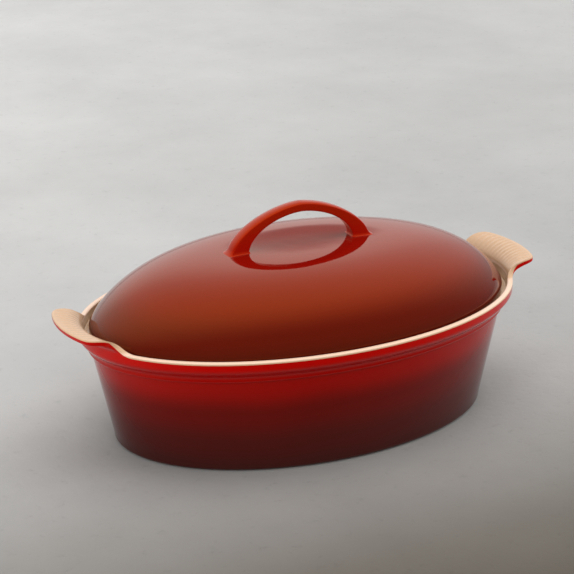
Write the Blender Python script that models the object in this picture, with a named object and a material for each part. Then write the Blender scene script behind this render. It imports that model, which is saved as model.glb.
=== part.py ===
"""Covered oval stoneware casserole dish: a baking dish with two end grips,
a domed lid that rests on a ledge inside the rim, and the strap handle luted
onto the lid. Metres, +Z up, foot on z = 0, long axis along X."""

import math

import bmesh
import bpy
import numpy as np

# ---- driving dimensions (metres) ----
RIM_A = 0.190            # half length over the rim
RIM_B = 0.1208           # half width over the rim
RIM_Z = 0.0991           # height of the rim
RIM_WALL = 0.0048        # thickness of the rim
COLLAR_Z = 0.0812        # underside of the collar band
COLLAR_IN = 0.0078       # collar underside, inward from the rim
COLLAR_STEP = 0.0025     # collar proud of the wall below it
BASE_A = 0.1613          # half length of the base
BASE_B = 0.1043          # half width of the base
FOOT_IN = 0.0035         # foot ring's outer edge, inward from the base
FOOT_WIDTH = 0.0065      # unglazed foot ring
FOOT_RECESS = 0.0016     # base inside the foot ring, above the table
FOOT_TURN = 0.0036       # height where the foot's rounding meets the wall
BASE_SWELL = 0.0005      # wall just above the foot, outward from the base
BODY_WALL = 0.0072       # wall thickness of the dish
FLOOR_Z = 0.0084         # cooking floor above the table
FLOOR_RADIUS = 0.013     # inner corner between floor and wall
LEDGE_Z = 0.0910         # ledge that carries the lid
LEDGE_WIDTH = 0.0084     # width of that ledge
SOFT = 0.0012            # rounding of small edges

GRIP_OUT = 0.0195        # end grip reach beyond the rim
GRIP_RISE = 0.0134       # end grip rise above the rim
GRIP_TURN = math.radians(84.0)  # how far the grip curls from upright
GRIP_FLAT = 0.0204       # half width of the straight part of the grip edge
GRIP_HALF = 0.0376       # half width of the grip at its root
GRIP_EDGE = 0.0045       # thickness of the grip edge
GRIP_SQUARE = 5.17       # power that squares the grip's outline
GRIP_FALL = 0.52         # power that rounds the outline down to the rim
GRIP_BLEND = 0.31        # how far the grip points along X, not square to the rim
EDGE_SOFT = 0.40         # rounding of rim and grip edges, as a share of their thickness

LID_A = 0.1821           # half length of the lid
LID_B = 0.1128           # half width of the lid
LID_EDGE_Z = 0.0974      # where the dome starts above the lid edge
LID_RISE = 0.0500        # dome height above that line
LID_POWER = 4.0          # plan power of the dome curve
LID_FALL = 1.27          # fall power of the dome curve
LID_WALL = 0.0063        # wall thickness of the lid
FLANGE_OUT = 0.0088      # locating flange, inward from the lid edge
FLANGE_WIDTH = 0.0052    # thickness of the locating flange
FLANGE_Z = 0.0838        # bottom of the locating flange

HANDLE_Z = 0.1470        # height where the arch curve starts
HANDLE_A = 0.0622        # half span of the arch, outside
HANDLE_RISE = 0.0345     # rise of the arch, outside
HANDLE_POWER = 1.55
INNER_A = 0.0462         # half span of the arch, inside
INNER_RISE = 0.0280      # rise of the arch, inside
INNER_POWER = 1.76
STRAP_HALF = 0.0054      # half width of the strap
STRAP_CROWN = 0.0012     # crown of the strap's top face
STRAP_CORNER = 0.0013    # corner rounding of the strap
FOOT_FLARE = 0.0042      # how far each foot spreads outward where it meets the lid
FOOT_FLARE_Y = 0.0036    # and sideways
FLARE_HEIGHT = 0.0065    # height over which the feet spread
HANDLE_SHIFT = -0.0035   # handle set this far from the middle of the lid
HANDLE_YAW = math.radians(-2.3)

FIT_GAP = 0.0003         # clearance between separate pieces
LUTE_GAP = 0.0004        # clearance between the handle's feet and the dome
LID_SECTIONS = 64        # facets round the lid
ARCH_SECTIONS = 28       # facets along the handle


def material(name, colour, roughness):
    made = bpy.data.materials.new(name)
    made.use_nodes = True
    shader = made.node_tree.nodes["Principled BSDF"]
    shader.inputs["Base Color"].default_value = (*colour, 1.0)
    shader.inputs["Roughness"].default_value = roughness
    return made


def solid(name, rings, bottom, top, look):
    """Close rings of points, listed from one end to the other, with two middle points."""
    count = len(rings[0])
    points = [tuple(p) for ring in rings for p in ring]
    first = len(points)
    points.append(tuple(bottom))
    points.append(tuple(top))
    faces = []
    for i in range(len(rings) - 1):
        for j in range(count):
            k = (j + 1) % count
            low = i * count
            high = (i + 1) * count
            faces.append((low + j, low + k, high + k, high + j))
    last = (len(rings) - 1) * count
    for j in range(count):
        k = (j + 1) % count
        faces.append((first, k, j))
        faces.append((first + 1, last + j, last + k))
    mesh = bpy.data.meshes.new(name)
    mesh.from_pydata(points, [], faces)
    work = bmesh.new()
    work.from_mesh(mesh)
    bmesh.ops.triangulate(work, faces=work.faces)
    bmesh.ops.recalc_face_normals(work, faces=work.faces)
    if work.calc_volume(signed=True) < 0:
        bmesh.ops.reverse_faces(work, faces=work.faces)
    work.to_mesh(mesh)
    work.free()
    for face in mesh.polygons:
        face.use_smooth = True
    mesh.materials.append(look)
    made = bpy.data.objects.new(name, mesh)
    bpy.context.scene.collection.objects.link(made)
    return made


def oval(angles, a, b, z):
    return [(a * math.cos(t), b * math.sin(t), z) for t in angles]


def bezier(start, out, into, end, count):
    """Points of a cubic curve in the (outward, up) plane, both ends included."""
    curve = []
    for t in np.linspace(0.0, 1.0, count):
        s = 1.0 - t
        weights = (s**3, 3 * s * s * t, 3 * s * t * t, t**3)
        curve.append(sum(w * np.array(p) for w, p in zip(weights, (start, out, into, end))))
    return curve


def grip_share(y):
    """How much of the grip stands at this distance from the long axis: 1 full, 0 none."""
    u = (abs(y) - GRIP_FLAT) / (GRIP_HALF - GRIP_FLAT)
    u = min(max(u, 0.0), 1.0)
    return (1.0 - u**GRIP_SQUARE) ** GRIP_FALL


def dish_angles():
    """Section angles round the rim, close together at the corners of the grips."""
    quarter = [0.0]
    for y in np.linspace(0.0, GRIP_FLAT, 3)[1:]:
        quarter.append(math.asin(y / RIM_B))
    for step in np.radians([22.0, 40.0, 54.0, 66.0, 77.0, 90.0]):
        y = GRIP_FLAT + (GRIP_HALF - GRIP_FLAT) * math.sin(step) ** (2.0 / GRIP_SQUARE)
        quarter.append(math.asin(y / RIM_B))
    quarter.extend(np.linspace(quarter[-1], math.pi / 2, 9)[1:])
    half = quarter + [math.pi - t for t in reversed(quarter[:-1])]
    return half + [t + math.pi for t in half[1:-1]]


def rim_section(share):
    """Underside, edge and inner face of the rim, (outward from the rim line, height).
    The plain rim lies inside the rim line; a grip lies below the line of its upper edge."""
    turn = share * GRIP_TURN
    lift = math.sin(turn) / math.sin(GRIP_TURN)
    reach = GRIP_OUT * (1.0 - math.cos(turn)) / (1.0 - math.cos(GRIP_TURN))
    along = np.array([math.sin(turn), math.cos(turn)])
    side = np.array([math.cos(turn), -math.sin(turn)])
    edge = RIM_WALL + (GRIP_EDGE - RIM_WALL) * share
    outer = np.array([reach, RIM_Z + GRIP_RISE * lift]) + side * edge * lift
    soft = EDGE_SOFT * edge
    under_end = outer - along * soft
    upper_end = under_end - side * edge
    start = np.array([-COLLAR_IN, COLLAR_Z + 0.5 * SOFT])
    length = np.linalg.norm(under_end - start)
    leave = start + np.array([0.20, 0.30]) * length
    under = bezier(start, leave, under_end - along * length * 0.35, under_end, 6)
    cap = [outer - side * edge * 0.25, outer - side * edge * 0.75]
    root = np.array([-RIM_WALL, LEDGE_Z + SOFT])
    length = np.linalg.norm(upper_end - root)
    leave = root + np.array([0.0, 0.40]) * length
    upper = bezier(upper_end, upper_end - along * length * 0.40, leave, root, 6)
    return under + cap + upper


def rim_point(t, out, z):
    """World place of a rim section's point; what stands out over the rim line points towards the end."""
    normal = np.array([math.cos(t), math.sin(t) * RIM_A / RIM_B])
    normal = normal / np.linalg.norm(normal)
    aim = normal * (1.0 - GRIP_BLEND)
    aim[0] += math.copysign(GRIP_BLEND, math.cos(t))
    aim = aim / np.linalg.norm(aim)
    inward = min(out, 0.0)
    outward = max(out, 0.0)
    x = (RIM_A + inward) * math.cos(t) + outward * aim[0]
    y = (RIM_B + inward) * math.sin(t) + outward * aim[1]
    return x, y, z


def build_dish(look):
    angles = dish_angles()
    wall_a = RIM_A - COLLAR_IN - COLLAR_STEP
    wall_b = RIM_B - COLLAR_IN - COLLAR_STEP
    swell_a = BASE_A + BASE_SWELL
    swell_b = BASE_B + BASE_SWELL
    foot_a = BASE_A - FOOT_IN
    foot_b = BASE_B - FOOT_IN
    ring_a = foot_a - FOOT_WIDTH
    ring_b = foot_b - FOOT_WIDTH
    rings = [
        oval(angles, ring_a * 0.5, ring_b * 0.5, FOOT_RECESS),
        oval(angles, ring_a - SOFT, ring_b - SOFT, FOOT_RECESS),
        oval(angles, ring_a, ring_b, 0.0),
        oval(angles, foot_a, foot_b, 0.0),
        oval(angles, BASE_A - 0.5 * SOFT, BASE_B - 0.5 * SOFT, SOFT),
        oval(angles, swell_a, swell_b, FOOT_TURN),
    ]
    for share in (0.33, 0.67, 1.0):
        a = swell_a + (wall_a - swell_a) * share
        b = swell_b + (wall_b - swell_b) * share
        rings.append(oval(angles, a, b, FOOT_TURN + (COLLAR_Z - SOFT - FOOT_TURN) * share))
    rings.append(oval(angles, wall_a + SOFT, wall_b + SOFT, COLLAR_Z - 0.5 * SOFT))
    sections = [rim_section(grip_share(RIM_B * math.sin(t))) for t in angles]
    for i in range(len(sections[0])):
        rings.append([rim_point(t, *section[i]) for t, section in zip(angles, sections)])
    mouth_a = RIM_A - RIM_WALL
    mouth_b = RIM_B - RIM_WALL
    top_a = mouth_a - LEDGE_WIDTH
    top_b = mouth_b - LEDGE_WIDTH
    rings.append(oval(angles, mouth_a - SOFT, mouth_b - SOFT, LEDGE_Z))
    rings.append(oval(angles, top_a + SOFT, top_b + SOFT, LEDGE_Z))
    rings.append(oval(angles, top_a, top_b, LEDGE_Z - SOFT))
    low_a = BASE_A - BODY_WALL
    low_b = BASE_B - BODY_WALL
    for share in (0.45, 0.85):
        a = top_a + (low_a - top_a) * share
        b = top_b + (low_b - top_b) * share
        rings.append(oval(angles, a, b, LEDGE_Z + (FLOOR_Z - LEDGE_Z) * share))
    for turn in np.radians([35.0, 65.0, 90.0]):
        cut = FLOOR_RADIUS * (1.0 - math.cos(turn))
        z = FLOOR_Z + FLOOR_RADIUS * (1.0 - math.sin(turn))
        rings.append(oval(angles, low_a - cut, low_b - cut, z))
    rings.append(oval(angles, low_a * 0.5, low_b * 0.5, FLOOR_Z))
    return solid("dish", rings, (0.0, 0.0, FOOT_RECESS), (0.0, 0.0, FLOOR_Z), look)


def dome_height(x, y):
    r = math.hypot(x / LID_A, y / LID_B)
    return LID_EDGE_Z + LID_RISE * (1.0 - r**LID_POWER) ** (1.0 / LID_FALL)


def dome_curve(turn):
    """Share of the half length and height of the dome for one turn from the edge (0) to the top."""
    share = math.cos(turn) ** (2.0 / LID_POWER)
    return share, LID_EDGE_Z + LID_RISE * math.sin(turn) ** (2.0 / LID_FALL)


def build_lid(look):
    angles = np.linspace(0.0, 2.0 * math.pi, LID_SECTIONS + 1)[:-1]
    seat = LEDGE_Z + FIT_GAP
    rings = []
    inner = []
    for turn in np.radians([12.0, 24.0, 37.0, 50.0, 63.0, 75.0, 84.0]):
        share, z = dome_curve(turn)
        rings.append(oval(angles, LID_A * share, LID_B * share, z))
        ahead, z_ahead = dome_curve(turn + 0.01)
        step = np.array([LID_A * (ahead - share), z_ahead - z])
        step = step / np.linalg.norm(step)
        cut = LID_WALL * step[1]
        inner.append((LID_A * share - cut, LID_B * share - cut, z + LID_WALL * step[0]))
    rings.reverse()
    rings.append(oval(angles, LID_A, LID_B, LID_EDGE_Z))
    rings.append(oval(angles, LID_A, LID_B, seat + SOFT))
    rings.append(oval(angles, LID_A - SOFT, LID_B - SOFT, seat))
    out_a = LID_A - FLANGE_OUT
    out_b = LID_B - FLANGE_OUT
    in_a = out_a - FLANGE_WIDTH
    in_b = out_b - FLANGE_WIDTH
    rings.append(oval(angles, out_a, out_b, seat))
    rings.append(oval(angles, out_a - 0.5 * SOFT, out_b - 0.5 * SOFT, FLANGE_Z + SOFT))
    rings.append(oval(angles, out_a - 1.5 * SOFT, out_b - 1.5 * SOFT, FLANGE_Z))
    rings.append(oval(angles, in_a + SOFT, in_b + SOFT, FLANGE_Z))
    rings.append(oval(angles, in_a, in_b, FLANGE_Z + SOFT))
    rings.append(oval(angles, in_a - FIT_GAP, in_b - FIT_GAP, LID_EDGE_Z))
    for a, b, z in inner:
        if a < in_a - SOFT:
            rings.append(oval(angles, a, b, z))
    top = LID_EDGE_Z + LID_RISE
    return solid("lid", rings, (0.0, 0.0, top), (0.0, 0.0, top - LID_WALL), look)


def build_handle(look):
    rings = []
    for turn in np.linspace(0.0, math.pi, ARCH_SECTIONS + 1):
        c = math.cos(turn)
        s = max(math.sin(turn), 0.0)
        outer_x = math.copysign(HANDLE_A * abs(c) ** (2.0 / HANDLE_POWER), c)
        outer_z = HANDLE_Z + HANDLE_RISE * s ** (2.0 / HANDLE_POWER)
        inner_x = math.copysign(INNER_A * abs(c) ** (2.0 / INNER_POWER), c)
        inner_z = HANDLE_Z + INNER_RISE * s ** (2.0 / INNER_POWER)
        near = max(0.0, 1.0 - (outer_z - HANDLE_Z) / FLARE_HEIGHT) ** 2
        half = STRAP_HALF + 0.0008 * (1.0 - s) + FOOT_FLARE_Y * near
        outer_x += math.copysign(FOOT_FLARE * near, c)
        inner_x -= math.copysign(FOOT_FLARE * 0.6 * near, c)
        middle = ((outer_x + inner_x) / 2.0, (outer_z + inner_z) / 2.0)
        thick = math.hypot(outer_x - inner_x, outer_z - inner_z)
        lean = ((outer_x - inner_x) / thick, (outer_z - inner_z) / thick)
        corner = STRAP_CORNER
        outline = [
            (-half, -thick / 2 + corner),
            (-half, thick / 2 - corner),
            (-half + corner, thick / 2),
            (0.0, thick / 2 + STRAP_CROWN),
            (half - corner, thick / 2),
            (half, thick / 2 - corner),
            (half, -thick / 2 + corner),
            (half - corner, -thick / 2),
            (0.0, -thick / 2),
            (-half + corner, -thick / 2),
        ]
        ring = []
        for y, r in outline:
            x = middle[0] + r * lean[0]
            z = middle[1] + r * lean[1]
            turned_x = x * math.cos(HANDLE_YAW) - y * math.sin(HANDLE_YAW) + HANDLE_SHIFT
            turned_y = x * math.sin(HANDLE_YAW) + y * math.cos(HANDLE_YAW)
            floor = dome_height(turned_x, turned_y) + LUTE_GAP
            if s < 1e-6:
                z = floor
            ring.append((turned_x, turned_y, max(z, floor)))
        rings.append(ring)
    ends = []
    for ring in (rings[0], rings[-1]):
        x = sum(p[0] for p in ring) / len(ring)
        y = sum(p[1] for p in ring) / len(ring)
        ends.append((x, y, dome_height(x, y) + LUTE_GAP))
    return solid("lid_handle", rings, ends[0], ends[1], look)


for old in list(bpy.data.objects):
    bpy.data.objects.remove(old, do_unlink=True)

dish_look = material("dish_red_glaze", (0.30, 0.012, 0.010), 0.12)
lid_look = material("lid_red_glaze", (0.33, 0.030, 0.015), 0.12)
handle_look = material("handle_red_glaze", (0.42, 0.040, 0.015), 0.12)

build_dish(dish_look)
build_lid(lid_look)
build_handle(handle_look)
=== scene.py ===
"""Visual model of a covered oval stoneware casserole dish, in metres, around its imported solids."""

import math

import bpy
import numpy as np
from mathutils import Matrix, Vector


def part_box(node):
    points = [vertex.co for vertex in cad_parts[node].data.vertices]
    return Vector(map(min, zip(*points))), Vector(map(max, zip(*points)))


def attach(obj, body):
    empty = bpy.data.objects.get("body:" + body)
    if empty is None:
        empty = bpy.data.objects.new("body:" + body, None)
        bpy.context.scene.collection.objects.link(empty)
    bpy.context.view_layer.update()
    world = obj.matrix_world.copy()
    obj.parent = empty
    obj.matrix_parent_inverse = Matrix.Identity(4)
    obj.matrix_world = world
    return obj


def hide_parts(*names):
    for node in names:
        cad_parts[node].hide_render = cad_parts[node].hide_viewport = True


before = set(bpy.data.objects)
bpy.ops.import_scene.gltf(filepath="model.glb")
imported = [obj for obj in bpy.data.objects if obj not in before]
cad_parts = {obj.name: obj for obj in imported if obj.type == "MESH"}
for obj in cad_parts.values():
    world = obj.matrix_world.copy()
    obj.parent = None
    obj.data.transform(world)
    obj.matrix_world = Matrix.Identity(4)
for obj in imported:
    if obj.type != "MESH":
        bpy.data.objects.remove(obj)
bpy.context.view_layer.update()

# ---- sizes read from the solids: x runs along the dish, y across it, z up ----
dish_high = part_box("dish")[1]
lid_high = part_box("lid")[1]
GRIP_END = dish_high[0]                  # half length over the grips
RIM_B = dish_high[1]                     # half width over the rim
LID_GAP_A = 0.0014                       # the visual lid's edge lies this far inside the solid's,
LID_GAP_B = 0.0008                       # along and across, for the photo's wider gap
LID_A = lid_high[0] - LID_GAP_A
LID_B = lid_high[1] - LID_GAP_B
LID_TOP = lid_high[2]

# ---- rim and collar ----
RIM_A = 0.190                            # half length over the rim, without the grips
RIM_Z = 0.0991
RIM_WALL = 0.0048
ROUND = 0.0013                           # softened corners of rim and grips
COLLAR_Z = 0.0812                        # middle of the bead that ends the collar
COLLAR_IN = 0.0078                       # the collar's foot, inside the rim's outer line
COLLAR_STEP = 0.0025                     # the body's wall, inside the collar's foot
BEAD = 0.0017                            # the bead's radius
BEAD_IN = COLLAR_IN + 0.0012             # the bead's middle, inside the rim's outer line
BEAD_TURN = 10.0                         # degrees above level where the bead meets the hollow
COVE = 0.0042                            # radius of the hollow between the bead and the collar's face
COVE_TURN = 143.0                        # degrees where the hollow meets the face
FACE_DROP = 0.0060                       # the face ends this far below the rim's top
FACE_LEAD = 0.0028                       # how far the face keeps its slope at its lower end,
FACE_RUN = 0.0040                        # and at its upper end
SHOULDER = 0.0010                        # rounding between the body's wall and the bead

# ---- body ----
BASE_A = 0.1613
BASE_B = 0.1043
BASE_EASE_A = 0.0005                     # the wall's foot lies this far outside the base's oval
BASE_EASE_B = 0.0003
BASE_ROUND = 0.0034                      # rounding from the wall to the foot ring
BASE_ROUND_IN = 0.0032                   # and how far inside the wall its middle lies
FOOT_IN = 0.0035
FOOT_WIDTH = 0.0065
FOOT_RECESS = 0.0016                     # height of the base's underside inside the ring
FOOT_SLOPE = 0.0004                      # the ring's outer chamfer, level and
FOOT_SLOPE_RISE = 0.0001                 # upright
FOOT_NOSE = 0.0008                       # rounding of the ring's inner edge
FOOT_FLARE = 0.0012                      # where the recess starts, inside the ring
BODY_WALL = 0.0072
BOTTOM_Z = 0.0084                        # height of the bottom inside the dish
BOTTOM_RADIUS = 0.013                    # rounding between it and the inner wall
INNER_SLOPE = 0.93                       # share of the inner wall's lean that lies over that rounding

# ---- mouth and the ledge that carries the lid ----
MOUTH_IN = RIM_WALL + 0.0001             # the mouth's wall, inside the rim's outer line
MOUTH_DROP = 0.0062                      # that wall starts this far below the rim's top
LEDGE_Z = 0.0910
LEDGE_WIDTH = 0.0084
LEDGE_CORNER = 0.0012                    # rounding between the mouth's wall and the ledge
LEDGE_START = 0.0018                     # the level part starts this far inside the mouth's wall
LEDGE_NOSE = 0.0014                      # rounding of the ledge's inner edge

# ---- grips ----
GRIP_CLEAR = 0.0004                      # a grip's tip stops this far short of the solid's
GRIP_OUT = GRIP_END - RIM_A - GRIP_CLEAR
GRIP_RISE = dish_high[2] - RIM_Z
GRIP_TURN = math.radians(84.0)           # how far a grip curls from upright
GRIP_REACH = 0.027                       # length of a grip's outline seen square on
GRIP_FLAT = 0.0204                       # half width of its straight end
GRIP_HALF = 0.0372                       # half width at its root
SIDE_POWER = 5.17                        # how square the outline is across,
END_POWER = 0.52                         # and towards its end
GRIP_ROOT = 0.0110                       # radius where the grip's sides run into the rim
GRIP_TAIL = 0.0150                       # and how far that run reaches along the rim
GRIP_SETTLE = 0.35                       # share of the reach where the grip has its full outward lean
GRIP_EDGE = 0.0042                       # thickness of the grip's edge
EDGE_EASE = 1.5                          # how soon the rim's thickness gives way to that
GRIP_BLEND = 0.31                        # share by which the grip points straight along the dish
GRIP_NEAR = 0.06                         # half width that this turn of direction covers
RIB_PITCH = 0.0046
RIB_DEPTH = 0.00045
RIB_HALF = 0.0350                        # half width that carries ribs; they fade out over
RIB_SIDE_FADE = 0.004                    # this much of it
RIB_ROOT = 0.0075                        # the ribs start this far along a section, and grow over
RIB_ROOT_FADE = 0.005                    # this length
RIB_TIP = 0.0022                         # they end this far short of the tip, and fade over
RIB_TIP_FADE = 0.003                     # this length

# ---- where the red and cream glazes meet ----
WRAP = 0.0007                            # how far the cream runs down the rim's outer side
RED_ON_RIM = 0.02                        # share of the rim's edge, from outside, under the red glaze
RED_ON_GRIP = 0.68                       # and of a grip's edge
GLAZE_EASE = 2.5                         # how soon the one share gives way to the other
EDGE_CLEAR = 1.02                        # the upper face starts this many corner radii from the edge

# ---- how many points the rim's lines get, and how many sections it has ----
PATH_POINTS = 48
OUTER_POINTS = 34
EDGE_STEPS = 80
RED_POINTS = 8
CREAM_POINTS = 12
UPPER_POINTS = 40
GRIP_SECTIONS = 110                      # in each quarter of the rim, on the grip
SIDE_SECTIONS = 70                       # and beside it

# ---- lid ----
LID_EDGE_Z = 0.0974
LID_RISE = LID_TOP - LID_EDGE_Z
LID_POWER = 4.0                          # the dome's superellipse: level
LID_FALL = 1.27                          # and upright
DOME_STEP = 0.002                        # turn, in radians, over which its slope is taken
LID_SEAT_Z = LEDGE_Z + 0.0003            # a hair over the ledge, so the faces don't fight
LID_WALL = 0.0063
LID_SOFT = 0.0016                        # rounding of the lid's lower edge
FLANGE_OUT = 0.0088                      # the flange's outer side, inside the lid's edge
FLANGE_WIDTH = 0.0052
FLANGE_Z = 0.0838                        # the flange's lower end
FLANGE_CORNER = 0.0010                   # rounding between seat and flange
FLANGE_TAPER = 0.0004                    # the flange draws in by this towards its end
FLANGE_ROUND = 0.0020                    # radius of its rounded end
FLANGE_SIDE = 0.0022                     # height over that end where its outer side stops
FLANGE_INSIDE = 0.0045                   # and where its inner side runs into the hollow
HOLLOW_IN = 0.0005                       # the hollow starts this far inside the flange

# ---- handle ----
HANDLE_Z = 0.1470                        # level from which the arch's heights are measured
HANDLE_A = 0.0607                        # outer arch: half length, rise and roundness
HANDLE_RISE = 0.0345
HANDLE_POWER = 1.65
OPENING_A = 0.0464                       # the same for the opening under it
OPENING_RISE = 0.0280
OPENING_POWER = 1.80
STRAP_HALF = 0.0054                      # half width of the strap
STRAP_SPREAD = 0.0010                    # how much wider each side of the strap is at its feet
STRAP_CROWN = 0.0010                     # rise of the strap's upper face in its middle
STRAP_CORNER = 0.0008
HANDLE_SHIFT = -0.0020                   # it sits a little off the lid's middle,
HANDLE_YAW = math.radians(-2.3)          # and a little turned, as in the photo
HANDLE_SINK = 0.00015                    # the feet go this far into the dome
FOLLOW = 0.010                           # height over which the feet follow the dome's slope
FILLET = 0.0022                          # where the handle's feet run into the dome
FILLET_OUT = 0.0042                      # the same at the feet's outer ends
# heights of the sections near a foot, closer together where the fillet is tight
FOOT_RISES = (0.0, 0.00015, 0.0004, 0.0008, 0.0013, 0.0019, 0.0026, 0.0034, 0.0044, 0.0056, 0.0070)

# ---- looks ----
WHITE = (1.0, 1.0, 1.0)
SPECKLE_SCALE = 2600.0                   # fineness of the speckle in a glaze's colour
WAVE_SCALE = 70.0                        # and of the waviness in its gloss,
WAVE_HEIGHT = 0.00025                    # which is this high
GLASS_IOR = 1.5
CREAM_LOW = 0.0900                       # heights between which the cream's tones, and its painted highlight on the rim, are set
CREAM_HIGH = 0.1060
HANDLE_TONES = 0.036                     # height over the lid's top that the handle's tones take up
CLAY_TONES = 0.010                       # and height that the bare clay's do
FLOOR_HALF = 30.0
FLOOR_DROP = 0.0002
FLOOR_FRONT = -0.35                      # the floor's tones, painted shade that is darkest in front, run from here, in front of the dish, to here, behind it
FLOOR_BACK = 1.65                        # to here, behind it
FLOOR_SHADE_RIGHT = 0.5                        # where its painted shade has darkened it in full towards the right
CLOUD_SCALE = 3.2                        # fineness of its clouding,
PIT_SCALE = 90.0                         # and of its pits

# ---- lights: name, place, aim, width, height, power in watts ----
LIGHTS = (
    ("overhead_softbox", (0.35, -0.2, 2.6), (0.0, 0.0, 0.0), 2.4, 2.4, 31.0),
    ("right_fill", (1.9, -0.5, 0.6), (0.25, -0.1, 0.0), 1.8, 1.0, 23.0),
    ("left_fill", (-1.9, -0.5, 0.6), (-0.25, -0.1, 0.0), 1.6, 0.9, 16.0),
    ("front_fill", (-0.8, -2.5, 1.5), (0.0, 0.0, 0.1), 2.2, 1.4, 24.0),
)
WORLD_BASE = 0.20                        # strength of the world outside its patches
WORLD_COLOUR = (1.0, 0.99, 0.975)
# degrees from the back towards the right, degrees up, angle from there where the patch ends,
# angle within which it is full, strength
WORLD_PATCHES = (
    (15.0, 55.0, 82.0, 30.0, 0.70),
    (14.0, 9.0, 36.0, 5.0, 0.21),
    (28.0, 16.9, 4.6, 0.5, -0.7),
)

# ---- camera: angles in degrees, as in the photo ----
CAMERA_AZIMUTH = -27.602
CAMERA_ELEVATION = 20.89
CAMERA_TARGET = (-0.0665 * RIM_A, 0.0, 0.5819 * RIM_A)
CAMERA_DISTANCE = 9.0 * RIM_A
CAMERA_LENS = 132.3                      # millimetres, as is the sensor
CAMERA_SENSOR = 36.0


# ---------------------------------------------------------------- mesh helpers

def grid_mesh(name, grid, caps=()):
    """A mesh from points [row][column], each row a closed ring. Caps are (row, middle point)."""
    rows, columns = grid.shape[:2]
    points = [tuple(p) for p in grid.reshape(-1, 3)]
    faces = []
    for i in range(rows - 1):
        here, after = i * columns, (i + 1) * columns
        for j in range(columns):
            k = (j + 1) % columns
            faces.append((here + j, here + k, after + k, after + j))
    for row, middle in caps:
        points.append(tuple(middle))
        centre = len(points) - 1
        start = (row % rows) * columns
        for j in range(columns):
            k = (j + 1) % columns
            side = (start + k, start + j) if row == 0 else (start + j, start + k)
            faces.append((centre, *side))
    mesh = bpy.data.meshes.new(name)
    mesh.from_pydata(points, [], faces)
    mesh.validate()
    mesh.shade_smooth()
    made = bpy.data.objects.new(name, mesh)
    bpy.context.scene.collection.objects.link(made)
    return made


def clamp(value):
    """The value, kept between 0 and 1."""
    return min(max(value, 0.0), 1.0)


def ovals(angles, profile):
    """Grid of ellipses from a list of (half length, half width, height)."""
    rows = []
    for a, b, z in profile:
        rows.append(np.stack([a * np.cos(angles), b * np.sin(angles), np.full_like(angles, z)], -1))
    return np.array(rows)


def beside(a, b, points):
    """Profile points (half length, half width, height) from (outward, up) points beside an oval."""
    return [(a + out, b + out, z) for out, z in points]


def slope(start, end, shares):
    """Profile points at given shares of the way from one profile point to another."""
    return [tuple(p + (q - p) * share for p, q in zip(start, end)) for share in shares]


def arc(centre, radius, start, stop, count):
    """Points of a circular arc in the (outward, up) plane, angles in degrees, ends included."""
    turns = np.radians(np.linspace(start, stop, count))
    return [(centre[0] + radius * math.cos(t), centre[1] + radius * math.sin(t)) for t in turns]


def bezier(start, out, into, end, count):
    """Points of a cubic curve in the (outward, up) plane, ends included."""
    t = np.linspace(0.0, 1.0, count)[:, None]
    s = 1.0 - t
    return s**3 * start + 3 * s * s * t * out + 3 * s * t * t * into + t**3 * end


def distances(points):
    """Distance from a line's start to each of its points."""
    steps = np.hypot(*np.diff(points, axis=0).T)
    return np.concatenate([[0.0], np.cumsum(steps)])


def read_at(wanted, along, values):
    """Two columns of values, read off at wanted distances along their line."""
    return np.stack([np.interp(wanted, along, values[:, k]) for k in range(2)], -1)


def resample(points, count):
    """The same line with evenly spaced points."""
    points = np.asarray(points, float)
    along = distances(points)
    return read_at(np.linspace(0.0, along[-1], count), along, points)


# ---------------------------------------------------------------- dish

def grip_outline():
    """Half of a grip's outline seen square on: distance from the long axis, and share of the reach."""
    points = [(y, 1.0) for y in np.linspace(0.0, GRIP_FLAT, 60)]
    for turn in np.radians(np.linspace(1.0, 89.0, 120)):
        across = math.sin(turn) ** (2.0 / SIDE_POWER)
        share = math.cos(turn) ** (2.0 * END_POWER)
        if share * GRIP_REACH > GRIP_ROOT:
            points.append((GRIP_FLAT + (GRIP_HALF - GRIP_FLAT) * across, share))
    side = points[-1][0]
    for turn in np.radians(np.linspace(2.0, 90.0, 60)):
        y = side + GRIP_TAIL * (1.0 - math.cos(turn))
        points.append((y, GRIP_ROOT * (1.0 - math.sin(turn)) / GRIP_REACH))
    return np.array(points)


def rim_sections():
    """Angle, and share of the grip, for every section round the rim."""
    outline = grip_outline() * np.array([1.0, GRIP_REACH])
    y, reach = resample(outline, GRIP_SECTIONS).T
    angle = np.arcsin(np.clip(y / RIM_B, -1.0, 1.0))
    rest = np.linspace(angle[-1], math.pi / 2, SIDE_SECTIONS)[1:]
    angle = np.concatenate([angle, rest])
    share = np.concatenate([reach / GRIP_REACH, np.zeros(len(rest))])
    quarter = list(zip(angle, share))
    half = quarter + [(math.pi - t, s) for t, s in reversed(quarter[:-1])]
    full = half + [(t + math.pi, s) for t, s in half[1:-1]]
    return np.array(full).T


def grip_path(share, thick):
    """Outer line of rim and grip from below the rim to the tip, with its tangents and outward normals.
    The plain rim lies inside this line's start, and the grip's top face ends at its full height."""
    turns = np.linspace(0.0, share * GRIP_TURN, 60)
    lift = np.sin(turns) / math.sin(GRIP_TURN)
    settle = min(share / GRIP_SETTLE, 1.0)
    settle = settle * settle * (3.0 - 2.0 * settle)
    out = GRIP_OUT * (1.0 - np.cos(turns)) / (1.0 - math.cos(GRIP_TURN))
    out = out + np.cos(turns) * thick * lift * settle
    up = RIM_Z + GRIP_RISE * lift - np.sin(turns) * thick * lift
    line = np.concatenate([[(0.0, RIM_Z - FACE_DROP)], np.stack([out, up], -1)])
    steps = np.hypot(*np.diff(line, axis=0).T)
    apart = np.concatenate([[True], steps > 1e-9])
    line = resample(line[apart], PATH_POINTS)
    tangent = np.gradient(line, axis=0)
    tangent /= np.linalg.norm(tangent, axis=1)[:, None]
    normal = np.stack([tangent[:, 1], -tangent[:, 0]], -1)
    return line, tangent, normal


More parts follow.
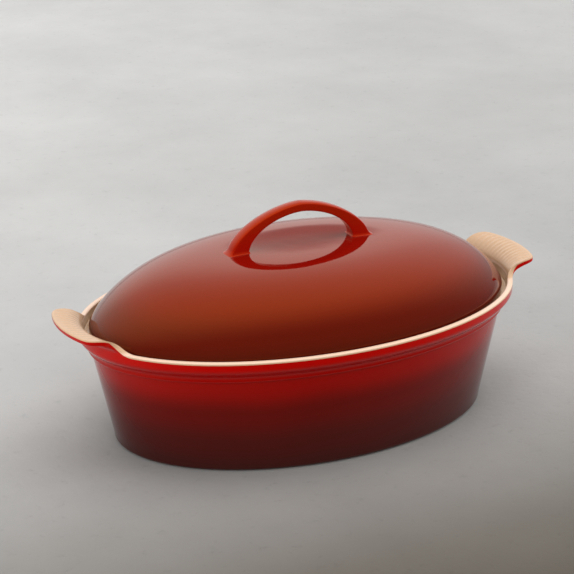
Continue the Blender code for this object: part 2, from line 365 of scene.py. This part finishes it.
def collar_line(join):
    """Bead, hollow and face of the collar, up to the point where the rim's outer side starts."""
    middle = (-BEAD_IN, COLLAR_Z)
    bead = arc(middle, BEAD, -90.0, BEAD_TURN, 14)
    turn = math.radians(BEAD_TURN)
    apart = BEAD + COVE
    hollow = (middle[0] + apart * math.cos(turn), middle[1] + apart * math.sin(turn))
    cove = arc(hollow, COVE, 180.0 + BEAD_TURN, COVE_TURN, 7)[1:]
    start = np.array(cove[-1])
    lean = math.radians(COVE_TURN - 90.0)
    lead = FACE_LEAD * np.array([math.cos(lean), math.sin(lean)])
    face = bezier(start, start + lead, join - np.array([0.0, FACE_RUN]), join, 16)
    return np.concatenate([bead, cove, face[1:]])


def soft_edge(end, tangent, normal, thick):
    """The edge of rim or grip, from outside to inside: soft corner, flat, soft corner."""
    near, far = [], []
    for turn in np.radians(np.linspace(0.0, 90.0, 12)):
        back = ROUND * (1.0 - math.sin(turn))
        aside = ROUND * (1.0 - math.cos(turn))
        near.append(end - tangent * back - normal * aside)
        far.append(end - tangent * back - normal * (thick - aside))
    return near + far[::-1]


def rib_cut(s, length, y):
    """How deep the ribs cut a grip's upper face at a distance along its section and across it."""
    wave = 0.5 - 0.5 * math.cos(2.0 * math.pi * y / RIB_PITCH)
    past_root = clamp((s - RIB_ROOT) / RIB_ROOT_FADE)
    before_tip = clamp((length - s - RIB_TIP) / RIB_TIP_FADE)
    inside = clamp((RIB_HALF - abs(y)) / RIB_SIDE_FADE)
    return RIB_DEPTH * wave * past_root * before_tip * inside


def section_lines(share, y):
    """One rim section as two lines of (outward, up): red outside and cream inside."""
    thick = RIM_WALL + (GRIP_EDGE - RIM_WALL) * min(share * EDGE_EASE, 1.0)
    line, tangent, normal = grip_path(share, thick)
    length = distances(line)[-1]
    along = np.linspace(0.0, length, len(line))
    # the outer face stops short of the softened corner, and on the rim a little lower
    on_grip = min(share * GLAZE_EASE, 1.0)
    wrap = ROUND + WRAP * (1.0 - on_grip)
    outer = read_at(np.linspace(0.0, length - wrap, OUTER_POINTS), along, line)
    # the edge is red up to a share of it that grows on the grips
    edge = [outer[-1]] if wrap > ROUND + 1e-6 else []
    edge += soft_edge(line[-1], tangent[-1], normal[-1], thick)
    edge = resample(edge, EDGE_STEPS + 1)
    red = int(round(EDGE_STEPS * (RED_ON_RIM + (RED_ON_GRIP - RED_ON_RIM) * on_grip)))
    red_edge = resample(edge[:red + 1], RED_POINTS)
    cream_edge = resample(edge[red:], CREAM_POINTS)
    upper = []
    for s in np.linspace(length - ROUND * EDGE_CLEAR, 0.0, UPPER_POINTS):
        away = read_at(s, along, normal)
        away = away / np.linalg.norm(away)
        upper.append(read_at(s, along, line) - away * (thick - rib_cut(s, length, y)))
    low = LEDGE_Z + LEDGE_CORNER
    mouth = [(-MOUTH_IN, z) for z in np.linspace(RIM_Z - MOUTH_DROP, low, 4)[1:]]
    mouth += arc((-MOUTH_IN - LEDGE_CORNER, low), LEDGE_CORNER, 0.0, -90.0, 6)[1:]
    glazed = np.concatenate([collar_line(line[0]), outer[1:], red_edge[1:]])
    cream = np.concatenate([cream_edge, upper, mouth])
    return glazed, cream


def place_section(angles, lines):
    """Grid of points round the rim from its sections' (outward, up) points. Near the long axis the
    outward way turns towards the dish's ends, so that a grip spreads less than the oval's normals."""
    cos, sin = np.cos(angles), np.sin(angles)
    normal = np.stack([cos, sin * RIM_A / RIM_B], -1)
    normal /= np.linalg.norm(normal, axis=1)[:, None]
    aim = normal * (1.0 - GRIP_BLEND)
    aim[:, 0] += GRIP_BLEND * np.sign(cos)
    aim /= np.linalg.norm(aim, axis=1)[:, None]
    near = np.abs(sin * RIM_B) < GRIP_NEAR
    aim[~near] = normal[~near]
    grid = np.zeros((lines.shape[1], len(angles), 3))
    for i in range(len(grid)):
        out, up = lines[:, i, 0], lines[:, i, 1]
        inward, outward = np.minimum(out, 0.0), np.maximum(out, 0.0)
        grid[i, :, 0] = (RIM_A + inward) * cos + outward * aim[:, 0]
        grid[i, :, 1] = (RIM_B + inward) * sin + outward * aim[:, 1]
        grid[i, :, 2] = up
    return grid


def build_dish():
    """The dish's red outside, cream inside and bare foot ring. Where two meet, their points agree."""
    angles, shares = rim_sections()
    sections = [section_lines(s, RIM_B * math.sin(t)) for t, s in zip(angles, shares)]
    glazed = place_section(angles, np.array([red for red, pale in sections]))
    cream = place_section(angles, np.array([pale for red, pale in sections]))

    low_a, low_b = BASE_A + BASE_EASE_A, BASE_B + BASE_EASE_B
    wall_a = RIM_A - COLLAR_IN - COLLAR_STEP
    wall_b = RIM_B - COLLAR_IN - COLLAR_STEP
    top = COLLAR_Z - BEAD - SHOULDER
    wall = beside(low_a, low_b, arc((-BASE_ROUND_IN, BASE_ROUND), BASE_ROUND, -80.0, 0.0, 9))
    wall += slope((low_a, low_b, BASE_ROUND), (wall_a, wall_b, top), np.linspace(0.0, 1.0, 26)[1:])
    wall += beside(wall_a, wall_b, arc((SHOULDER, top), SHOULDER, 180.0, 90.0, 7)[1:])
    shell = grid_mesh("dish_outer_glaze", np.concatenate([ovals(angles, wall), glazed]))

    mouth_a, mouth_b = RIM_A - MOUTH_IN, RIM_B - MOUTH_IN
    top_a, top_b = mouth_a - LEDGE_WIDTH, mouth_b - LEDGE_WIDTH
    nose_z = LEDGE_Z - LEDGE_NOSE
    round_z = BOTTOM_Z + BOTTOM_RADIUS
    heel_a = top_a + (BASE_A - BODY_WALL - top_a) * INNER_SLOPE
    heel_b = top_b + (BASE_B - BODY_WALL - top_b) * INNER_SLOPE
    flat_a, flat_b = heel_a - BOTTOM_RADIUS, heel_b - BOTTOM_RADIUS
    level = np.linspace(LEDGE_START, LEDGE_WIDTH - LEDGE_NOSE, 5)
    inside = beside(mouth_a, mouth_b, [(-out, LEDGE_Z) for out in level])
    inside += beside(top_a, top_b, arc((LEDGE_NOSE, nose_z), LEDGE_NOSE, 90.0, 180.0, 7)[1:])
    inside += slope((top_a, top_b, nose_z), (heel_a, heel_b, round_z), np.linspace(0.0, 1.0, 22)[1:])
    inside += beside(heel_a, heel_b, arc((-BOTTOM_RADIUS, round_z), BOTTOM_RADIUS, 0.0, -90.0, 12)[1:])
    inside += [(flat_a * share, flat_b * share, BOTTOM_Z) for share in (0.8, 0.6, 0.4, 0.2)]
    liner_grid = np.concatenate([cream, ovals(angles, inside)])
    liner = grid_mesh("dish_cream_glaze", liner_grid, caps=[(-1, (0.0, 0.0, BOTTOM_Z))])

    foot_a, foot_b = BASE_A - FOOT_IN, BASE_B - FOOT_IN
    ring_a, ring_b = foot_a - FOOT_WIDTH, foot_b - FOOT_WIDTH
    foot = [wall[0]]
    foot += beside(foot_a, foot_b, [(FOOT_SLOPE, FOOT_SLOPE_RISE), (0.0, 0.0)])
    foot += beside(ring_a, ring_b, arc((0.0, FOOT_NOSE), FOOT_NOSE, -90.0, -180.0, 5))
    foot += beside(ring_a, ring_b, [(-FOOT_FLARE, FOOT_RECESS)])
    foot += [(foot_a * share, foot_b * share, FOOT_RECESS) for share in (0.75, 0.5, 0.25)]
    foot_grid = ovals(angles, foot)[:, ::-1]
    ring = grid_mesh("dish_foot_ring", foot_grid, caps=[(-1, (0.0, 0.0, FOOT_RECESS))])
    return shell, liner, ring


# ---------------------------------------------------------------- lid

def dome_z(x, y):
    """Height of the dome's outer face over a point."""
    share = np.minimum(np.hypot(x / LID_A, y / LID_B), 1.0)
    return LID_EDGE_Z + LID_RISE * (1.0 - share**LID_POWER) ** (1.0 / LID_FALL)


def dome_at(turn):
    """Share of the lid's half length and height of its outer face, from its edge (0) to its top."""
    return math.cos(turn) ** (2.0 / LID_POWER), LID_EDGE_Z + LID_RISE * math.sin(turn) ** (2.0 / LID_FALL)


def dome_profiles():
    """Profiles of the dome's outer face and of its inner face, one wall thickness in.
    They run from just over the edge to just short of the top, closer together at the end."""
    outside, inside = [], []
    for turn in np.concatenate([np.linspace(0.004, 1.40, 60), np.linspace(1.42, 1.566, 14)]):
        share, z = dome_at(turn)
        outside.append((LID_A * share, LID_B * share, z))
        ahead, z_ahead = dome_at(turn + DOME_STEP)
        step = np.array([LID_A * (ahead - share), z_ahead - z])
        across, up = LID_WALL * step / np.linalg.norm(step)
        inside.append((LID_A * share - up, LID_B * share - up, z + across))
    return outside, inside


def build_lid():
    """The lid's red outside, its cream underside and the bare ring it rests on."""
    angles = np.linspace(0.0, 2.0 * math.pi, 361)[:-1]
    outside, inside = dome_profiles()
    low_z = LID_SEAT_Z + LID_SOFT
    edge = beside(LID_A, LID_B, arc((-LID_SOFT, low_z), LID_SOFT, -90.0, 0.0, 8))
    edge += [(LID_A, LID_B, z) for z in np.linspace(low_z, LID_EDGE_Z, 5)[1:]]
    shell = grid_mesh("lid_outer_glaze", ovals(angles, edge + outside), caps=[(-1, (0.0, 0.0, LID_TOP))])

    out_a, out_b = LID_A - FLANGE_OUT, LID_B - FLANGE_OUT
    in_a, in_b = out_a - FLANGE_WIDTH, out_b - FLANGE_WIDTH
    seat = [edge[0], (out_a + FLANGE_CORNER, out_b + FLANGE_CORNER, LID_SEAT_Z)]
    bare = grid_mesh("lid_bare_seat", ovals(angles, seat)[:, ::-1])
    corner = arc((FLANGE_CORNER, LID_SEAT_Z - FLANGE_CORNER), FLANGE_CORNER, 90.0, 180.0, 6)
    nose = arc((-FLANGE_WIDTH / 2.0, FLANGE_Z + FLANGE_ROUND), FLANGE_ROUND, 0.0, -180.0, 14)
    flange = corner[1:] + [(-FLANGE_TAPER, FLANGE_Z + FLANGE_SIDE)] + nose
    hollow_z = FLANGE_Z + FLANGE_INSIDE
    under = [seat[-1]] + beside(out_a, out_b, flange) + [(in_a, in_b, hollow_z)]
    hollow = [p for p in inside if p[0] < in_a - HOLLOW_IN]
    first = hollow[0]
    for share in np.linspace(0.0, 1.0, 7)[1:-1]:
        bend = share * share
        under.append((in_a + (first[0] - in_a) * bend, in_b + (first[1] - in_b) * bend,
                      hollow_z + (first[2] - hollow_z) * share))
    under_grid = ovals(angles, under + hollow)[:, ::-1]
    liner = grid_mesh("lid_cream_glaze", under_grid, caps=[(-1, (0.0, 0.0, LID_TOP - LID_WALL))])
    return shell, liner, bare


# ---------------------------------------------------------------- handle

def strap_outline(half, thick, corner):
    """Strap section with rounded corners and a crowned top: points (across, outward)."""
    side, face = half - corner, thick / 2 - corner
    top = [(side * (1.0 - 2.0 * share), thick / 2) for share in (0.2, 0.35, 0.5, 0.65, 0.8)]
    left = [(-half, face * (1.0 - 2.0 * share)) for share in (0.25, 0.5, 0.75)]
    bottom = [(side * (2.0 * share - 1.0), -thick / 2) for share in (0.25, 0.5, 0.75)]
    right = [(half, -face * (1.0 - 2.0 * share)) for share in (0.25, 0.5, 0.75)]
    points = arc((side, face), corner, 0.0, 90.0, 6) + top
    points += arc((-side, face), corner, 90.0, 180.0, 6) + left
    points += arc((-side, -face), corner, 180.0, 270.0, 6) + bottom
    points += arc((side, -face), corner, 270.0, 360.0, 6) + right
    crowned = []
    for y, r in points:
        crown = STRAP_CROWN * (1.0 - (y / half) ** 2) if r > thick / 2 - 1e-9 else 0.0
        crowned.append((y, r + crown))
    return crowned


def fillet_at(rise, radius):
    """How far a round fillet stands out from an upright face at a height over its foot."""
    share = max(0.0, 1.0 - rise / radius)
    return radius * (1.0 - math.sqrt(max(0.0, 1.0 - share**2)))


def arch_point(turn, half_length, rise, power):
    """Point (along, up) of a superellipse arch, from its right foot (0) over its top."""
    c, s = math.cos(turn), max(math.sin(turn), 0.0)
    return math.copysign(half_length * abs(c) ** (2.0 / power), c), HANDLE_Z + rise * s ** (2.0 / power)


def build_handle():
    """The strap: sections set between an outer and an inner arch, with feet that run into the dome."""
    turns = [math.asin(min((z / HANDLE_RISE) ** (HANDLE_POWER / 2.0), 1.0)) for z in FOOT_RISES]
    turns += list(np.linspace(turns[-1], math.pi / 2, 48)[1:])
    turns += [math.pi - t for t in reversed(turns[:-1])]
    yaw_cos, yaw_sin = math.cos(HANDLE_YAW), math.sin(HANDLE_YAW)
    rows = []
    for turn in turns:
        outer_x, outer_z = arch_point(turn, HANDLE_A, HANDLE_RISE, HANDLE_POWER)
        inner_x, inner_z = arch_point(turn, OPENING_A, OPENING_RISE, OPENING_POWER)
        thick = math.hypot(outer_x - inner_x, outer_z - inner_z)
        lean_x, lean_z = (outer_x - inner_x) / thick, (outer_z - inner_z) / thick
        rise = outer_z - HANDLE_Z
        spread, spread_out = fillet_at(rise, FILLET), fillet_at(rise, FILLET_OUT)
        half = STRAP_HALF + STRAP_SPREAD * (1.0 - max(math.sin(turn), 0.0)) + spread
        hold = max(0.0, 1.0 - rise / FOLLOW)
        ring = []
        for y, r in strap_outline(half, thick + spread + spread_out, STRAP_CORNER + spread):
            out = r + (spread_out - spread) / 2.0
            x = (outer_x + inner_x) / 2 + out * lean_x
            z = (outer_z + inner_z) / 2 + out * lean_z
            turned_x = x * yaw_cos - y * yaw_sin + HANDLE_SHIFT
            turned_y = x * yaw_sin + y * yaw_cos
            dome = float(dome_z(turned_x, turned_y))
            ring.append((turned_x, turned_y, z * (1.0 - hold) + (dome + rise - HANDLE_SINK) * hold))
        rows.append(ring)
    grid = np.array(rows)[:, ::-1]
    caps = [(row, grid[row].mean(axis=0)) for row in (0, -1)]
    return grid_mesh("lid_handle_glaze", grid, caps=caps)


# ---------------------------------------------------------------- materials

class Nodes:
    """A material with its node tree, and the few kinds of node that it takes."""

    def __init__(self, name):
        self.material = bpy.data.materials.new(name)
        self.material.use_nodes = True
        self.tree = self.material.node_tree
        self.shader = self.tree.nodes["Principled BSDF"]
        self.place = self.add("ShaderNodeTexCoord").outputs["Object"]
        parts = self.add("ShaderNodeSeparateXYZ")
        self.link(self.place, parts.inputs[0])
        self.x, self.y, self.z = parts.outputs

    def add(self, kind, **values):
        """A new node. A value goes to the input of that name, or to the node's own setting."""
        node = self.tree.nodes.new(kind)
        for key, value in values.items():
            if key in node.inputs:
                node.inputs[key].default_value = value
            else:
                setattr(node, key, value)
        return node

    def link(self, out, into):
        self.tree.links.new(out, into)

    def ramp(self, value, stops, smooth=True):
        """Colour that runs through stops of (position, colour)."""
        node = self.add("ShaderNodeValToRGB")
        node.color_ramp.interpolation = "EASE" if smooth else "LINEAR"
        elements = node.color_ramp.elements
        while len(elements) > 1:
            elements.remove(elements[-1])
        elements[0].position = stops[0][0]
        elements[0].color = (*stops[0][1], 1.0)
        for position, colour in stops[1:]:
            elements.new(position).color = (*colour, 1.0)
        self.link(value, node.inputs["Fac"])
        return node.outputs["Color"]

    def noise(self, scale, detail, roughness=0.5):
        """Soft noise in the object's own space."""
        node = self.add("ShaderNodeTexNoise", Scale=scale, Detail=detail, Roughness=roughness)
        self.link(self.place, node.inputs["Vector"])
        return node.outputs["Fac"]

    def spread(self, value, low, high, to_low=0.0, to_high=1.0):
        """A value's place between two limits, carried over to two others."""
        node = self.add("ShaderNodeMapRange")
        limits = {"From Min": low, "From Max": high, "To Min": to_low, "To Max": to_high}
        for socket, limit in limits.items():
            node.inputs[socket].default_value = limit
        self.link(value, node.inputs["Value"])
        return node.outputs["Result"]

    def combine(self, first, second, operation, **values):
        """Two values joined by a sum or a product."""
        node = self.add("ShaderNodeMath", operation=operation, **values)
        self.link(first, node.inputs[0])
        self.link(second, node.inputs[1])
        return node.outputs[0]

    def paint(self, colour, strength):
        """The surface's colour, made lighter or darker by a value."""
        node = self.add("ShaderNodeVectorMath", operation="SCALE")
        self.link(colour, node.inputs[0])
        self.link(strength, node.inputs["Scale"])
        self.link(node.outputs[0], self.shader.inputs["Base Color"])

    def bump(self, height, strength, distance):
        """Fine relief in the surface's shading."""
        node = self.add("ShaderNodeBump", Strength=strength, Distance=distance)
        self.link(height, node.inputs["Height"])
        self.link(node.outputs[0], self.shader.inputs["Normal"])


def glaze(name, low, high, stops, wander, scale,
          roughness=0.045, speckle=0.08, shine=0.5, tint=WHITE):
    """Glassy coat. Its colour runs through the stops from one height to another, and wanders a little
    as glaze runs unevenly. It has a fine speckle, and a slight waviness in the gloss. Shine and tint
    are the strength and colour of what it mirrors."""
    n = Nodes(name)
    shift = n.add("ShaderNodeMath", operation="MULTIPLY_ADD")
    n.link(n.noise(scale, 3.0), shift.inputs[0])
    shift.inputs[1].default_value = wander
    shift.inputs[2].default_value = -wander / 2.0
    share = n.combine(n.spread(n.z, low, high), shift.outputs[0], "ADD", use_clamp=True)
    spots = n.noise(SPECKLE_SCALE, 2.0)
    grain = n.spread(spots, 0.35, 0.65, to_low=1.0 - speckle, to_high=1.0 + speckle)
    n.paint(n.ramp(share, stops), grain)
    n.bump(n.noise(WAVE_SCALE, 2.0, 0.45), strength=0.12, distance=WAVE_HEIGHT)
    n.shader.inputs["Roughness"].default_value = roughness
    n.shader.inputs["IOR"].default_value = GLASS_IOR
    n.shader.inputs["Specular IOR Level"].default_value = shine
    n.shader.inputs["Specular Tint"].default_value = (*tint, 1.0)
    return n.material


def dish_glaze():
    """Deep red below the collar, maroon at the foot."""
    stops = (
        (0.00, (0.034, 0.0070, 0.0065)),
        (0.22, (0.056, 0.0040, 0.0040)),
        (0.50, (0.120, 0.0010, 0.0010)),
        (0.76, (0.350, 0.0005, 0.0002)),
        (1.00, (0.540, 0.0005, 0.0002)),
    )
    return glaze("dish_red_glaze", 0.0, RIM_Z, stops, wander=0.10, scale=9.0,
                 shine=0.75, tint=(1.0, 0.30, 0.22))


def lid_glaze():
    """Red, with painted shade that makes it darker towards the lid's edge, and a warm shine."""
    # painted shade: the red darkens from the top towards the edge
    stops = (
        (0.00, (0.072, 0.0030, 0.002)),
        (0.35, (0.110, 0.0030, 0.002)),
        (0.75, (0.190, 0.0030, 0.001)),
        (1.00, (0.210, 0.0030, 0.001)),
    )
    return glaze("lid_red_glaze", LID_SEAT_Z, LID_TOP, stops, wander=0.08, scale=7.0,
                 shine=1.0, tint=(1.0, 0.43, 0.12))


def handle_glaze():
    """Bright red, a little more orange towards the top."""
    stops = (
        (0.00, (0.360, 0.0035, 0.001)),
        (1.00, (0.360, 0.0080, 0.001)),
    )
    return glaze("handle_red_glaze", LID_TOP, LID_TOP + HANDLE_TONES, stops, wander=0.15, scale=30.0,
                 shine=0.8, tint=(1.0, 0.50, 0.10))


def cream_glaze(name):
    """Warm cream, with a painted highlight that makes it paler in a band at the rim's height."""
    stops = (
        (0.00, (0.660, 0.430, 0.260)),
        (0.48, (0.660, 0.430, 0.260)),
        # painted highlight: a paler band along the rim's top
        (0.54, (0.860, 0.610, 0.455)),
        (0.58, (0.860, 0.610, 0.455)),
        (0.68, (0.640, 0.410, 0.250)),
    )
    return glaze(name, CREAM_LOW, CREAM_HIGH, stops, wander=0.02, scale=14.0,
                 roughness=0.16, speckle=0.05)


def bare_stoneware(name):
    """Unglazed clay: matt, with a coarser mottle and speckle."""
    stops = (
        (0.0, (0.44, 0.33, 0.22)),
        (1.0, (0.56, 0.44, 0.31)),
    )
    return glaze(name, 0.0, CLAY_TONES, stops, wander=0.9, scale=120.0, roughness=0.7, speckle=0.15)


def floor_material():
    """Pale, faintly clouded stone with fine pits, with painted shade that makes it darker towards the
    front and a little to the right.
    """
    n = Nodes("pale_floor")
    stops = (
        (0.000, (0.082, 0.070, 0.054)),
        (0.045, (0.136, 0.124, 0.106)),
        (0.090, (0.230, 0.220, 0.206)),
        (0.150, (0.350, 0.344, 0.334)),
        (0.210, (0.420, 0.417, 0.410)),
        (0.300, (0.480, 0.479, 0.474)),
        (0.500, (0.555, 0.552, 0.544)),
        (1.000, (0.850, 0.850, 0.845)),
    )
    # painted shade: the floor's colour darkens from the back towards the front
    colour = n.ramp(n.spread(n.y, FLOOR_FRONT, FLOOR_BACK), stops, smooth=False)
    # painted shade: darker towards the right
    across = n.spread(n.x, 0.0, FLOOR_SHADE_RIGHT, to_low=1.0, to_high=0.82)
    clouds = n.spread(n.noise(CLOUD_SCALE, 8.0, 0.66), 0.30, 0.70, to_low=0.90, to_high=1.09)
    pits = n.noise(PIT_SCALE, 6.0, 0.7)
    grain = n.spread(pits, 0.26, 0.42, to_low=0.84)
    tone = n.combine(n.combine(across, clouds, "MULTIPLY"), grain, "MULTIPLY")
    n.paint(colour, tone)
    n.bump(pits, strength=0.35, distance=0.0015)
    n.shader.inputs["Roughness"].default_value = 0.7
    return n.material


# ---------------------------------------------------------------- scene

def add_piece(piece, body, slot, look, *nodes):
    """Give a piece its look, the body it rides on and the solids that it stands in for, which are hidden.
    The slot is not used.
    """
    piece.data.materials.append(look)
    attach(piece, body)
    if nodes:
        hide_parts(*nodes)


def add_floor():
    """A large flat floor, a hair under the foot ring so that the faces don't fight."""
    half, z = FLOOR_HALF, -FLOOR_DROP
    mesh = bpy.data.meshes.new("floor")
    corners = [(-half, -half, z), (half, -half, z), (half, half, z), (-half, half, z)]
    mesh.from_pydata(corners, [], [(0, 1, 2, 3)])
    floor = bpy.data.objects.new("floor", mesh)
    bpy.context.scene.collection.objects.link(floor)
    mesh.materials.append(floor_material())


def add_light(name, place, aim, width, height, power):
    """A soft rectangular light that stays out of reflections; the world is what the glaze mirrors."""
    data = bpy.data.lights.new(name, "AREA")
    data.shape = "RECTANGLE"
    data.size = width
    data.size_y = height
    data.energy = power
    light = bpy.data.objects.new(name, data)
    light.location = place
    light.rotation_mode = "QUATERNION"
    light.rotation_quaternion = (Vector(aim) - Vector(place)).to_track_quat("-Z", "Y")
    light.visible_glossy = False
    bpy.context.scene.collection.objects.link(light)


def glow(tree, direction, azimuth, elevation, outer, inner, strength):
    """A soft patch of sky: full inside the inner angle from its middle, nothing past the outer one."""
    a, e = math.radians(azimuth), math.radians(elevation)
    dot = tree.nodes.new("ShaderNodeVectorMath")
    dot.operation = "DOT_PRODUCT"
    dot.inputs[1].default_value = (math.sin(a) * math.cos(e), math.cos(a) * math.cos(e), math.sin(e))
    tree.links.new(direction, dot.inputs[0])
    span = tree.nodes.new("ShaderNodeMapRange")
    span.interpolation_type = "SMOOTHSTEP"
    span.inputs["From Min"].default_value = math.cos(math.radians(outer))
    span.inputs["From Max"].default_value = math.cos(math.radians(inner))
    span.inputs["To Max"].default_value = strength
    tree.links.new(dot.outputs["Value"], span.inputs["Value"])
    return span.outputs["Result"]


def add_world():
    """A soft studio: bright overhead and behind the dish, dim on the camera's side, with one small
    dark patch behind that gives the darker band mirrored in the lid under the handle."""
    world = bpy.data.worlds.new("studio")
    world.use_nodes = True
    tree = world.node_tree
    background = tree.nodes["Background"]
    way = tree.nodes.new("ShaderNodeTexCoord").outputs["Generated"]
    total = None
    for patch in WORLD_PATCHES:
        joined = tree.nodes.new("ShaderNodeMath")
        joined.operation = "ADD"
        if total is None:
            joined.inputs[0].default_value = WORLD_BASE
        else:
            tree.links.new(total, joined.inputs[0])
        tree.links.new(glow(tree, way, *patch), joined.inputs[1])
        total = joined.outputs[0]
    tree.links.new(total, background.inputs["Strength"])
    background.inputs["Color"].default_value = (*WORLD_COLOUR, 1.0)
    bpy.context.scene.world = world


def add_camera():
    """Looks at the dish from its front left corner, a little above it."""
    a, e = math.radians(CAMERA_AZIMUTH), math.radians(CAMERA_ELEVATION)
    back = Vector((math.sin(a) * math.cos(e), -math.cos(a) * math.cos(e), math.sin(e)))
    data = bpy.data.cameras.new("camera")
    data.sensor_width = CAMERA_SENSOR
    data.lens = CAMERA_LENS
    camera = bpy.data.objects.new("camera", data)
    camera.location = Vector(CAMERA_TARGET) + back * CAMERA_DISTANCE
    camera.rotation_mode = "QUATERNION"
    camera.rotation_quaternion = (-back).to_track_quat("-Z", "Y")
    bpy.context.scene.collection.objects.link(camera)
    bpy.context.scene.camera = camera


shell, liner, ring = build_dish()
add_piece(shell, "dish", "dish_glaze", dish_glaze(), "dish")
add_piece(liner, "dish", "cream_glaze", cream_glaze("dish_cream"))
add_piece(ring, "dish", "bare_stoneware", bare_stoneware("dish_bare_clay"))

lid_shell, lid_liner, lid_seat = build_lid()
add_piece(lid_shell, "lid", "lid_glaze", lid_glaze(), "lid")
add_piece(lid_liner, "lid", "cream_glaze", cream_glaze("lid_cream"))
add_piece(lid_seat, "lid", "bare_stoneware", bare_stoneware("lid_bare_clay"))

handle = build_handle()
add_piece(handle, "lid", "handle_glaze", handle_glaze(), "lid_handle")

add_floor()
for light in LIGHTS:
    add_light(*light)
add_world()
add_camera()
bpy.context.scene.view_settings.view_transform = "Standard"
